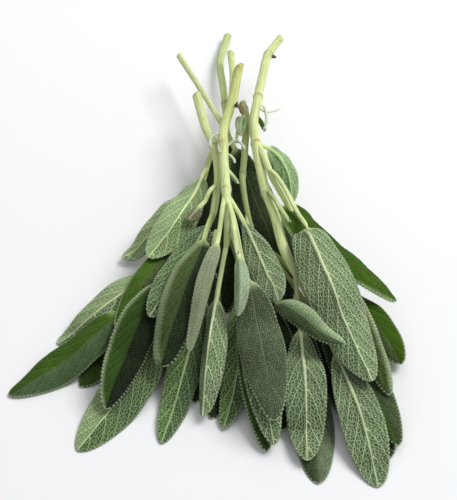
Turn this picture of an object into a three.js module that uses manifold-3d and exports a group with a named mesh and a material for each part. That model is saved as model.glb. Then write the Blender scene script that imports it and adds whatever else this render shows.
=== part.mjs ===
// A loose bunch of fresh sage lying on its side: seven leafy stems, millimetres, +Z up.
// Every stem is a curve from its cut end to its last leaf. Leaves are laid down one after the
// other, from the lowest up, on a height map of what already lies there, so nothing crosses.
import * as THREE from "three";
import Module from "manifold-3d";

const wasm = await Module();
wasm.setup();

// ---- driving dimensions
const BLADE = 0.8;        // thickness of a leaf blade
const KEEL = 0.5;         // how far the midrib stands out of the underside
const STALK_HALF = 0.8;   // half width of a leaf stalk
const GAP = 0.9;          // clearance kept when one piece is laid on another
const SINK = -1.5;        // height-map level of the bare surface
const DROOP = 0.04;       // how sharply a leaf bends over what lies under it, per mm
const STEM_DROOP = 0.006; // the same for a stem, which is stiffer
const SOFT = 2.5;         // sharpness of the soft maximum, per mm
const STEPS = 24;         // stations along a leaf while it is laid down
const CENTRE = [-8.5, 8]; // middle of the bunch, brought to the origin
const BLADE_STATIONS = [0, 0.07, 0.2, 0.38, 0.56, 0.74, 0.88, 0.97, 1];
const SMALL_STATIONS = [0, 0.25, 0.55, 0.85, 1];
const ACROSS = [-1, -0.5, 0, 0.5, 1];
const STEM_SIDES = 8;

// ---- the bunch. A stem: points [x, y, z], radius at the cut and at the end, the slant of the cut,
// knots as distances from the cut. A leaf: face seen from above ("u" under, "t" top), rank in the pile,
// distance of its root from the cut, tip x and y, sideways bow, width, stalk share, then what differs.
const FLAT = { fold: 3, curl: 8, wave: 0.3 };
const SPRIGS = [
  {
    name: "south_sprig", rank: 0.2, r: [1.8, 1.0], slant: 0.6, knots: [52, 96],
    stem: [[-0.5, 130, 2], [-4, 110, 4.5], [-2.4, 90, 7], [-1, 68, 8], [0, 47, 8], [-2, 28, 7], [-5, 10, 6]],
    leaves: [
      ["f3", "t", 3.5, 115, -41, -77, 3, 15, 0.46, FLAT],
      ["f5", "t", 0.3, 70, -2, -34, -2, 21, 0.05, FLAT],
      ["l8", "t", 4, 119, -13, -76, 0, 13, 0.29, FLAT],
      ["l7b", "u", 10.5, 113, -2, -88, 9, 13.5, 0.42, FLAT],
      ["l30", "t", 6, 112, -58.5, -68.5, 5, 14.5, 0.52, FLAT],
      ["l7a", "t", 5, 118, -7, -83, 12, 14, 0.36],
      ["l9", "u", 13, 119, -25.6, -94, 3.2, 14, 0.41, { roll: -10 }],
    ],
  },
  {
    name: "west_low_sprig", rank: 0.4, r: [1.6, 1.0], slant: -0.5, knots: [39],
    stem: [[1, 108, 12], [2, 92, 13], [1, 72, 14], [-3, 54, 14], [-8, 40, 13], [-11, 27, 11], [-15, 12, 9]],
    leaves: [
      ["f1", "t", 3, 93, -51, -62, 0, 14.5, 0.47, FLAT],
      ["l28", "u", 7, 98, -69, -48, 9.5, 15.5, 0.35, { roll: -2 }],
      ["l33", "u", 8, 97, -57.3, -97, 9.3, 20.6, 0.44, { roll: -5, belly: 0.5 }],
      ["l1", "u", 9, 76, -45, -6.5, 8.5, 13.5, 0.1, { roll: -12, tip: 3 }],
      ["l29", "t", 15, 96, -86, -72.5, 14, 17, 0.54, { roll: -8, fold: 18, belly: 0.45, wave: 1.6 }],
      ["l32", "t", 15.5, 97, -44, -51, 0, 12.5, 0.31],
      ["l2", "u", 16, 73, -32.5, -17.5, 4, 16, 0.17, { roll: -8, belly: 0.6, tip: 6 }],
    ],
  },
  {
    name: "south_east_sprig", rank: 0.6, r: [1.4, 1.0], slant: 0.5, knots: [54],
    stem: [[-23, 103, 15], [-13, 80, 17], [-4, 58, 19], [3, 42, 17], [8, 26, 12], [11, 9, 9]],
    leaves: [
      ["l24", "t", 1, 99, 33.6, -111, 5, 17.6, 0.46, { belly: 0.58 }],
      ["f2", "t", 2, 101, 47, -87, 5, 14.5, 0.45, FLAT],
      ["f4", "t", 2.5, 101, 36, -80, -1, 15.5, 0.37, FLAT],
      ["l26", "t", 11.8, 99, 14.5, -98, -4, 13, 0.41, FLAT],
      ["l13", "t", 11.7, 58, 24, -34, 2, 20, 0.1, { tip: 6 }],
      ["l27", "t", 5.5, 99, 21, -89, 1.5, 15.5, 0.45, FLAT],
    ],
  },
  {
    name: "stub_sprig", rank: 11.9, r: [1.8, 0.9], slant: 0.9, knots: [4, 43],
    stem: [[6, 67, 20], [8, 55, 21], [7, 37, 22], [6, 20, 19], [8, 3, 15], [11, -9, 12]],
    leaves: [
      ["l25", "u", 12.2, 65, 17.2, -97, -2.6, 14, 0.43, FLAT],
      ["l20", "t", 15.5, 76, 61.5, -100, 5, 15, 0.45, FLAT],
      ["l19", "t", 17, 76, 64.6, -96, 6, 14.6, 0.42, FLAT],
      ["l23", "t", 26.5, 76, 45, -62, -10, 9.5, 0.5, { roll: 22, fold: 8, curl: 20, belly: 0.38, tip: 14 }],
    ],
  },
  {
    name: "east_sprig", rank: 17.5, r: [1.8, 2.1], slant: -0.8, knots: [14, 45, 72, 99],
    stem: [[24, 107, 22], [18, 94, 24], [15, 77, 26], [13, 64, 27], [11, 49, 27], [12, 35, 26],
      [14, 20, 25], [16, 10, 23], [19.5, -4, 20], [22, -16, 16], [27, -29, 12]],
    leaves: [
      ["l22", "u", 18, 141, 29.5, -103, 1, 16, 0.3, { belly: 0.52, foot: 0.45, fold: 4, curl: 10 }],
      ["l21", "u", 19, 140, 55.8, -112.5, 4, 17, 0.4, { belly: 0.55, foot: 0.5, fold: 4, curl: 10 }],
      ["l17", "t", 17.7, 141, 68.3, -60.3, 7.8, 14.5, 0.33, { tip: 4, fold: 4, curl: 15 }],
      ["l18", "t", 21.9, 99, 62, -77.5, 3.8, 14, 0.38, { roll: 8, fold: 5, curl: 20, belly: 0.38 }],
      ["l14", "u", 22.2, 72, 27, 18, 5, 11.6, 0.18, { fold: 20, belly: 0.42, curl: 50, tip: 10 }],
      ["wisp_3", "u", 36, 45, 23, 60, -6.5, 2.2, 0.24, { tip: 24, small: true }],
      ["wisp_4", "u", 37, 46, 15, 45, 2.5, 2.6, 0.23, { tip: 26, small: true }],
    ],
  },
  {
    name: "east_sprig", rank: 22.4, r: [1.4, 1.3], slant: 0, knots: [], branch: true,
    stem: [[12, 38, 26], [15, 28, 28], [18, 17, 28], [23, 6, 27], [26, 0, 25], [30, -8, 23]],
    leaves: [
      ["l15", "t", 23, 35, 68, -33.3, -7, 17.5, 0.03, { roll: -15, fold: 10, belly: 0.38, tip: 9 }],
      ["l16", "u", 24.2, 49, 55, -74.5, -1, 22.5, 0.04, { belly: 0.45, fold: 12, tip: 9, foot: 0.5 }],
    ],
  },
  {
    name: "west_high_sprig", rank: 20.4, r: [2.0, 1.4], slant: 0.7, knots: [36],
    stem: [[-14.2, 72, 20], [-10.4, 52, 22], [-6, 37, 24], [-4.5, 22, 22], [-6, 6, 20], [-9, -4, 17]],
    leaves: [
      ["l31", "t", 21, 77, -47, -82, -4, 16.5, 0.37, { roll: -17, fold: -13 }],
      ["l3", "u", 25, 74, -31, -48, 1, 15, 0.05, { roll: -15, belly: 0.5, curl: 20, tip: 10 }],
      ["dry_leaf", "u", 26, 54, -16.5, -3.5, 1, 7, 0.7, { tip: 20, small: true, fold: 25, curl: 45 }],
      ["l4", "t", 30, 66, -26, -67, 1.5, 18, 0.27, { roll: 8, fold: 5, curl: 20, end: 0.35, tip: 6 }],
    ],
  },
  {
    name: "crown_sprig", rank: 24.5, r: [2.0, 1.8], slant: 2.2, knots: [52, 76],
    stem: [[4.6, 86, 24], [1.6, 63, 26], [-2, 44, 28], [-2, 29, 28], [-1, 10, 27], [0, -4, 25], [-1, -17, 22]],
    leaves: [
      ["l12", "u", 27, 78, 19.5, -43, 2, 13, 0.26, { roll: 10, fold: -2, curl: 30, belly: 0.58, tip: 12 }],
      ["l6", "u", 28.5, 102, -10, -84, -1, 15, 0.34, { roll: 25, fold: 42, curl: 10, belly: 0.5, tip: 4 }],
      ["l5", "u", 31, 73, -15, -65, 2.2, 8, 0.39, { roll: -22, fold: 33, curl: 15, belly: 0.43, end: 0.35, tip: 12 }],
      ["l11", "t", 32, 77, 17.5, -90, 0.5, 18.5, 0.45, { belly: 0.48, roll: 5 }],
      ["cut_stalk", "u", 33.5, 78, 3.4, -26, 0.5, 2.0, 0.92, { tip: 24, small: true }],
      ["l10", "u", 33, 89, 3.5, -52, 2.5, 8, 0.47, { roll: 20, fold: 30, tip: 16 }],
      ["wisp_1", "u", 36, 45, -7, 32, -3, 2.4, 0.15, { tip: 29, small: true }],
      ["wisp_2", "u", 36.5, 55, 7, 30, 5.5, 2.1, 0.15, { tip: 30, small: true }],
    ],
  },
];

// ---- small helpers
const rad = (d) => (d * Math.PI) / 180;
const clamp = (v, lo, hi) => Math.min(Math.max(v, lo), hi);
const smooth = (t, a, b) => {
  const k = clamp((t - a) / (b - a), 0, 1);
  return k * k * (3 - 2 * k);
};
const share = (n) => Array.from({ length: n + 1 }, (_, i) => i / n);

function lerpAt(x, xs, ys) {
  if (x <= xs[0]) return ys[0];
  for (let i = 1; i < xs.length; i++) {
    if (x <= xs[i]) return ys[i - 1] + ((ys[i] - ys[i - 1]) * (x - xs[i - 1])) / (xs[i] - xs[i - 1]);
  }
  return ys[ys.length - 1];
}

function curvePoints(points, n) {
  const curve = new THREE.CatmullRomCurve3(points.map((p) => new THREE.Vector3(...p)), false, "catmullrom", 0.5);
  return curve.getPoints(n - 1).map((p) => p.toArray());
}

function lengths(points) {
  const s = [0];
  for (let i = 1; i < points.length; i++) {
    s.push(s[i - 1] + Math.hypot(...points[i].map((v, k) => v - points[i - 1][k])));
  }
  return s;
}

// ---- the height map: one layer per leafy stem, 1 mm cells
class Piles {
  constructor(names) {
    this.nx = 250;
    this.ny = 300;
    this.layers = new Map([...names].map((n) => [n, new Float64Array(this.nx * this.ny).fill(SINK)]));
  }
  cell(x, y) {
    const j = clamp(Math.floor(x + 120.5), 1, this.nx - 2);
    const i = clamp(Math.floor(y + 150.5), 1, this.ny - 2);
    return i * this.nx + j;
  }
  read(name, x, y, own) {
    const c = this.cell(x, y);
    let h = SINK;
    for (const [n, layer] of this.layers) if ((n === name) === own) h = Math.max(h, layer[c]);
    return h;
  }
  put(name, x, y, z) {
    const layer = this.layers.get(name);
    const c = this.cell(x, y);
    for (const di of [-1, 0, 1]) {
      for (const dj of [-1, 0, 1]) {
        const k = c + di * this.nx + dj;
        layer[k] = Math.max(layer[k], z);
      }
    }
  }
}

// lift that keeps a line over its needs, bending no sharper than a parabola of the given droop
function envelope(s, need, droop) {
  return s.map((here) => {
    const sum = s.reduce((acc, there, j) => {
      const rise = need[j] - droop * (here - there) ** 2;
      return acc + Math.exp(SOFT * Math.min(rise, 60));
    }, 1);
    return Math.log(sum) / SOFT;
  });
}

// ---- leaves
function readLeaf([key, face, rank, at, tx, ty, bow, wide, stalk, extra = {}]) {
  const rest = { roll: 0, fold: 8, curl: 25, belly: 0.48, foot: 0.6, end: 0.5, wave: 0.5, tip: 0.25, small: false };
  return { key, face, rank, at, to: [tx, ty], bow, wide, stalk, ...rest, ...extra };
}

function planPoint(leaf, root, u) {
  const dx = leaf.to[0] - root[0];
  const dy = leaf.to[1] - root[1];
  const len = Math.hypot(dx, dy);
  const cx = (root[0] + leaf.to[0]) / 2 - (dy / len) * leaf.bow * 2;
  const cy = (root[1] + leaf.to[1]) / 2 + (dx / len) * leaf.bow * 2;
  const a = (1 - u) ** 2;
  const b = 2 * u * (1 - u);
  const c = u * u;
  const p = [a * root[0] + b * cx + c * leaf.to[0], a * root[1] + b * cy + c * leaf.to[1]];
  const t = [(1 - u) * (cx - root[0]) + u * (leaf.to[0] - cx), (1 - u) * (cy - root[1]) + u * (leaf.to[1] - cy)];
  const n = Math.hypot(...t);
  return { p, side: [-t[1] / n, t[0] / n] };
}

function halfWidth(leaf, u) {
  const t = clamp((u - leaf.stalk) / (1 - leaf.stalk), 0, 1);
  const p = Math.log(0.5) / Math.log(leaf.belly);
  const lobe = Math.max(Math.sin(Math.PI * t ** p), 0) ** (leaf.foot + (leaf.end - leaf.foot) * t);
  return Math.max((leaf.wide / 2) * lobe, STALK_HALF * (1 - smooth(u, 0.9, 1)) + 0.2);
}

// offsets across and up at v of a blade's section, and the slope there
function section(v, half, roll, fold, curl) {
  const n = 8;
  let a = 0;
  let z = 0;
  let angle = rad(roll);
  for (let k = 0; k < n; k++) {
    const w = ((k + 0.5) / n) * Math.abs(v);
    angle = clamp(rad(roll) - Math.sign(v) * rad(fold + curl * w ** 3), -1.45, 1.45);
    a += ((half * v) / n) * Math.cos(angle);
    z += ((half * v) / n) * Math.sin(angle);
  }
  return { a, z, angle: v === 0 ? rad(roll) : angle };
}

function shapeAt(leaf, root, u, v) {
  const { p, side } = planPoint(leaf, root, u);
  const up = smooth(u, 0.6 * leaf.stalk, Math.min(leaf.stalk + 0.2, 0.95));
  const half = halfWidth(leaf, u);
  const s = section(v, half, leaf.roll * up, leaf.fold * up, leaf.curl * up);
  const ripple = leaf.wave * up * Math.sin(u * 23 + leaf.rank + Math.sign(v) * 1.1) * v * v * Math.min(1, half / 6);
  return { x: p[0] + side[0] * s.a, y: p[1] + side[1] * s.a, dz: s.z + ripple, angle: s.angle, side };
}

// how far the upper and lower surfaces stand off the middle surface at the midrib
function ribs(leaf, u) {
  const inStalk = 1 - smooth(u, leaf.stalk, leaf.stalk + 0.12);
  const onBlade = (1 - inStalk) * (1 - smooth(u, 0.75, 0.98));
  return {
    up: BLADE / 2 + KEEL * (0.6 * inStalk + (leaf.face === "u" ? onBlade : 0)),
    down: BLADE / 2 + KEEL * (0.6 * inStalk + (leaf.face === "t" ? onBlade : 0)),
  };
}

function layLeaf(piles, name, leaf, root, slope) {
  const us = share(STEPS);
  const plan = us.map((u) => planPoint(leaf, root, u).p);
  const s = lengths(plan);
  const total = s[STEPS];
  const natural = s.map((d) => root[2] + slope * d
    + (leaf.tip - root[2] - slope * total) * (d / total) ** 2);
  const need = us.map((u, i) => {
    let worst = -99;
    for (let k = 0; k <= 12; k++) {
      const v = k / 6 - 1;
      const q = shapeAt(leaf, root, u, v);
      const off = GAP - q.dz + (k === 6 ? ribs(leaf, u).down : BLADE / 2);
      worst = Math.max(worst, piles.read(name, q.x, q.y, false) + off);
      if (s[i] > 14) worst = Math.max(worst, piles.read(name, q.x, q.y, true) + off);
    }
    return worst - natural[i];
  });
  need[0] = Math.min(need[0], 0);
  const lift = envelope(s, need, DROOP);
  leaf.root = root;
  leaf.us = us;
  leaf.zs = natural.map((z, i) => z + lift[i] - lift[0] * (1 - smooth(s[i], 0, 12)));
  for (const u of share(120)) {
    const z = lerpAt(u, us, leaf.zs);
    for (let k = 0; k <= 40; k++) {
      const q = shapeAt(leaf, root, u, k / 20 - 1);
      piles.put(name, q.x, q.y, z + q.dz + (k === 20 ? ribs(leaf, u).up : BLADE / 2));
    }
  }
}

// ---- stems
function layStem(piles, sprig) {
  const c = curvePoints(sprig.stem, 80);
  const s = lengths(c);
  const total = s[79];
  const radius = s.map((d) => sprig.r[0] + ((sprig.r[1] - sprig.r[0]) * d) / total);
  const side = c.map((_, i) => {
    const [a, b] = [c[Math.max(i - 1, 0)], c[Math.min(i + 1, 79)]];
    const n = Math.hypot(b[0] - a[0], b[1] - a[1]);
    return [-(b[1] - a[1]) / n, (b[0] - a[0]) / n];
  });
  const rows = [-1, -0.5, 0, 0.5, 1].map((f) => ({ f, rise: Math.sqrt(1 - f * f) }));
  const need = c.map((p, i) => Math.max(...rows.map(({ f, rise }) => {
    const r = radius[i];
    const h = piles.read(sprig.name, p[0] + side[i][0] * r * f, p[1] + side[i][1] * r * f, false);
    return h + GAP - (p[2] - r * rise);
  })));
  const lift = envelope(s, need, STEM_DROOP);
  sprig.line = c.map((p, i) => [p[0], p[1], p[2] + lift[i]]);
  sprig.s = s;
  sprig.radius = radius;
  for (const q of share(320)) {
    const d = q * total;
    const [x, y, z, r, sx, sy] = [0, 1, 2].map((k) => lerpAt(d, s, sprig.line.map((p) => p[k])))
      .concat([lerpAt(d, s, radius)], [0, 1].map((k) => lerpAt(d, s, side.map((n) => n[k]))));
    for (const { f, rise } of rows) piles.put(sprig.name, x + sx * r * f, y + sy * r * f, z + r * rise);
  }
}

function rootOn(sprig, at) {
  const on = (d) => [0, 1, 2].map((k) => lerpAt(d, sprig.s, sprig.line.map((p) => p[k])));
  const [a, b] = [on(Math.max(at - 2, 0)), on(Math.min(at + 2, sprig.s[79]))];
  const slope = (b[2] - a[2]) / Math.hypot(b[0] - a[0], b[1] - a[1]);
  return { root: on(at), slope: clamp(slope, -0.5, 0.5) };
}

// ---- solids
function solid(rings) {
  const n = rings[0].length;
  const pts = rings.flat();
  const tris = [];
  for (let i = 0; i + 1 < rings.length; i++) {
    for (let j = 0; j < n; j++) {
      const [a, b] = [i * n + j, i * n + ((j + 1) % n)];
      // both faces of a blade share their diagonals
      if (j < n / 2) tris.push([a, b, b + n], [a, b + n, a + n]);
      else tris.push([a, b, a + n], [b, b + n, a + n]);
    }
  }
  const last = (rings.length - 1) * n;
  for (let j = 0; j + 1 < n / 2; j++) {
    const [a, b, c, d] = [j, j + 1, n - 2 - j, n - 1 - j];
    tris.push([a, d, b], [b, d, c]);
    tris.push([last + a, last + b, last + d], [last + b, last + c, last + d]);
  }
  return new wasm.Manifold(new wasm.Mesh({
    numProp: 3,
    vertProperties: new Float32Array(pts.flat()),
    triVerts: new Uint32Array(tris.flat()),
  }));
}

function leafSolid(leaf) {
  const stations = leaf.small ? SMALL_STATIONS : BLADE_STATIONS;
  const us = stations.map((t) => leaf.stalk + (1 - leaf.stalk) * t);
  if (leaf.stalk > 0.25) us.unshift(leaf.stalk * 0.25, leaf.stalk * 0.5, leaf.stalk * 0.75);
  us.unshift(0);
  return solid(us.map((u) => {
    const z = lerpAt(u, leaf.us, leaf.zs);
    const rib = ribs(leaf, u);
    const line = ACROSS.map((v) => {
      const q = shapeAt(leaf, leaf.root, u, v);
      const edge = v === 0 ? null : BLADE / 2;
      const place = (t) => [q.x - q.side[0] * Math.sin(q.angle) * t, q.y - q.side[1] * Math.sin(q.angle) * t,
        z + q.dz + Math.cos(q.angle) * t];
      return { top: place(edge ?? rib.up), low: place(-(edge ?? rib.down)) };
    });
    return [...line.map((p) => p.low), ...line.map((p) => p.top).reverse()];
  }));
}

function stemSolid(sprig) {
  const total = sprig.s[79];
  const marks = share(Math.round(total / 9)).map((q) => q * total);
  for (const k of sprig.knots) marks.push(k - 1.6, k, k + 1.6);
  marks.sort((a, b) => a - b);
  const kept = marks.filter((d, i) => i === 0 || d - marks[i - 1] > 0.7);
  const on = (d) => new THREE.Vector3(...[0, 1, 2].map((k) => lerpAt(d, sprig.s, sprig.line.map((p) => p[k]))));
  return solid(kept.map((d, i) => {
    const t = on(Math.min(d + 1, total)).sub(on(Math.max(d - 1, 0))).normalize();
    const side = new THREE.Vector3(-t.y, t.x, 0).normalize();
    const up = new THREE.Vector3().crossVectors(t, side);
    const knot = sprig.knots.some((k) => Math.abs(k - d) < 0.1) ? 1.22 : 1;
    const r = lerpAt(d, sprig.s, sprig.radius) * knot;
    return Array.from({ length: STEM_SIDES }, (_, j) => {
      const a = ((j + 0.5) / STEM_SIDES) * 2 * Math.PI;
      const slant = i === 0 ? sprig.slant * Math.cos(a) : 0;
      const p = on(d).addScaledVector(side, -r * Math.cos(a)).addScaledVector(up, -r * Math.sin(a));
      return p.addScaledVector(t, slant).toArray();
    });
  }));
}

function groundBlock() {
  const g = new THREE.BoxGeometry(400, 400, 20).translate(0, 0, -10);
  const pos = g.getAttribute("position");
  const key = (i) => [pos.getX(i), pos.getY(i), pos.getZ(i)].join();
  const corners = new Map();
  for (let i = 0; i < pos.count; i++) if (!corners.has(key(i))) corners.set(key(i), corners.size);
  const verts = [...corners.keys()].flatMap((k) => k.split(",").map(Number));
  const tris = [...g.getIndex().array].map((i) => corners.get(key(i)));
  return new wasm.Manifold(new wasm.Mesh({
    numProp: 3, vertProperties: new Float32Array(verts), triVerts: new Uint32Array(tris),
  }));
}

// ---- lay the bunch and build it
function layBunch() {
  const sprigs = SPRIGS.map((s) => ({ ...s, leaves: s.leaves.map(readLeaf) }));
  const piles = new Piles(new Set(sprigs.map((s) => s.name)));
  const jobs = sprigs.flatMap((sprig) => [
    { rank: sprig.rank, run: () => layStem(piles, sprig) },
    ...sprig.leaves.map((leaf) => ({
      rank: leaf.rank,
      run: () => {
        const { root, slope } = rootOn(sprig, leaf.at);
        layLeaf(piles, sprig.name, leaf, root, slope);
      },
    })),
  ]);
  jobs.sort((a, b) => a.rank - b.rank).forEach((job) => job.run());
  return sprigs;
}

function build() {
  const group = new THREE.Group();
  group.name = "sage_bunch";
  const ground = groundBlock();
  const bodies = new Map();
  for (const sprig of layBunch()) {
    let body = stemSolid(sprig);
    for (const leaf of sprig.leaves) body = body.add(leafSolid(leaf));
    bodies.set(sprig.name, bodies.has(sprig.name) ? bodies.get(sprig.name).add(body) : body);
  }
  for (const [name, body] of bodies) {
    const mesh = body.subtract(ground).getMesh();
    const g = new THREE.BufferGeometry();
    g.setAttribute("position", new THREE.BufferAttribute(Float32Array.from(mesh.vertProperties), 3));
    g.setIndex(new THREE.BufferAttribute(Uint32Array.from(mesh.triVerts), 1));
    g.translate(-CENTRE[0], -CENTRE[1], 0);
    g.computeVertexNormals();
    const material = new THREE.MeshStandardMaterial({ color: 0x6f8557, roughness: 0.8 });
    material.name = "sage_leaf";
    const node = new THREE.Mesh(g, material);
    node.name = name;
    group.add(node);
  }
  return group;
}

export default build();
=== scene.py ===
"""A loose bunch of fresh sage: seven leafy stems laid down on a pale surface, with stage and camera.

The stems and leaves are laid from the lowest up on a height map, in millimetres, and are then
grown as fine meshes in metres. A leaf is one closed sheet with veins, teeth and a rounded stalk.
"""
import math
from functools import cache, partial, partialmethod

import bpy
import numpy as np
from bpy.props import FloatProperty, FloatVectorProperty, PointerProperty
from bpy.types import Operator, Panel, PropertyGroup
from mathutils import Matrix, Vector


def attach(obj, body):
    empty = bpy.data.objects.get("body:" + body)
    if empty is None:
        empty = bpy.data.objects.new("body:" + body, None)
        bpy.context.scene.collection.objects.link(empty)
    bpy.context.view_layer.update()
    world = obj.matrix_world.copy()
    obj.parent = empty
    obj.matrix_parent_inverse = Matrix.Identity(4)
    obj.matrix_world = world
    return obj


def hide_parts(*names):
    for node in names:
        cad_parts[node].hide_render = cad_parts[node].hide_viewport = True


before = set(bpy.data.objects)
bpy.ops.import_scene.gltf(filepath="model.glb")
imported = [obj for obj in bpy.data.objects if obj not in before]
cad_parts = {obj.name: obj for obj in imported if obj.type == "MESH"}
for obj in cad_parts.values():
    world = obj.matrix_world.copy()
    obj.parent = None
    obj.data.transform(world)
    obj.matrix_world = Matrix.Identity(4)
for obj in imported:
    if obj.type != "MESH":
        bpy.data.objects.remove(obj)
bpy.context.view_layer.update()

bl_info = {
    "name": "Sage bunch",
    "version": (1, 0, 0),
    "blender": (4, 5, 0),
    "location": "3D View > Sidebar > Sage",
    "description": "Lays seven leafy sage stems in a loose bunch",
    "category": "Add Mesh",
}

# ---- how the bunch lies, in millimetres
BLADE = 0.8  # thickness of a blade while it is laid down
KEEL = 0.5  # how far its midrib stands out of the underside
STALK_HALF = 0.8  # half width of a leaf stalk
SMALL = 7  # leaves up to this width are small growth
GAP = 0.9  # clearance kept when one piece is laid on another
SINK = -1.5  # height-map level of the bare surface
DROOP = 0.04  # how sharply a leaf bends over what lies under it, per mm
STEM_DROOP = 0.006  # the same for a stem, which is stiffer
SOFT = 2.5  # sharpness of the soft maximum, per mm
HIGHEST = 60  # nothing is lifted further than this
ALONG = np.linspace(0, 1, 25)  # stations along a leaf while it is laid down
ACROSS = np.arange(13) / 6 - 1  # and across it
MAP_ALONG, MAP_ACROSS = np.linspace(0, 1, 121), np.arange(41) / 20 - 1  # to put it on the map
STEM_ALONG = np.linspace(0, 1, 321)  # along a stem, to put it on the map
CURL_STEPS = 8  # steps from a leaf's midrib to its margin
RIPPLES, OFFBEAT = 23, 1.1  # waves along an edge, and between the two edges, in radians
STEEPEST = 1.45  # how far a leaf may turn up or down across, in radians
STEM_POINTS = 80  # points along a stem
STEM_ACROSS = (-1, -0.5, 0, 0.5, 1)  # where across a stem its height is compared, in radii
OWN_REACH = 14  # a leaf rests on its own stem's leaves from this far past its root
ROOT_EASE = 12  # how far from its root a leaf keeps to its stem
CENTRE = (-8.5, 8.0)  # middle of the bunch, brought to the origin
GRID_X, GRID_Y = 250, 300  # cells of the height map
GRID_LEFT, GRID_NEAR = 120.5, 150.5  # from its corner to the zero of x and y

# A stem: name, rank in the pile, radius at the cut and at the end, slant of the cut, knots from
# the cut, points, leaves. The one without knots is a branch of the stem before it.
STEM_COLUMNS = "name", "rank", "r", "slant", "knots", "points", "leaves"
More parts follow.
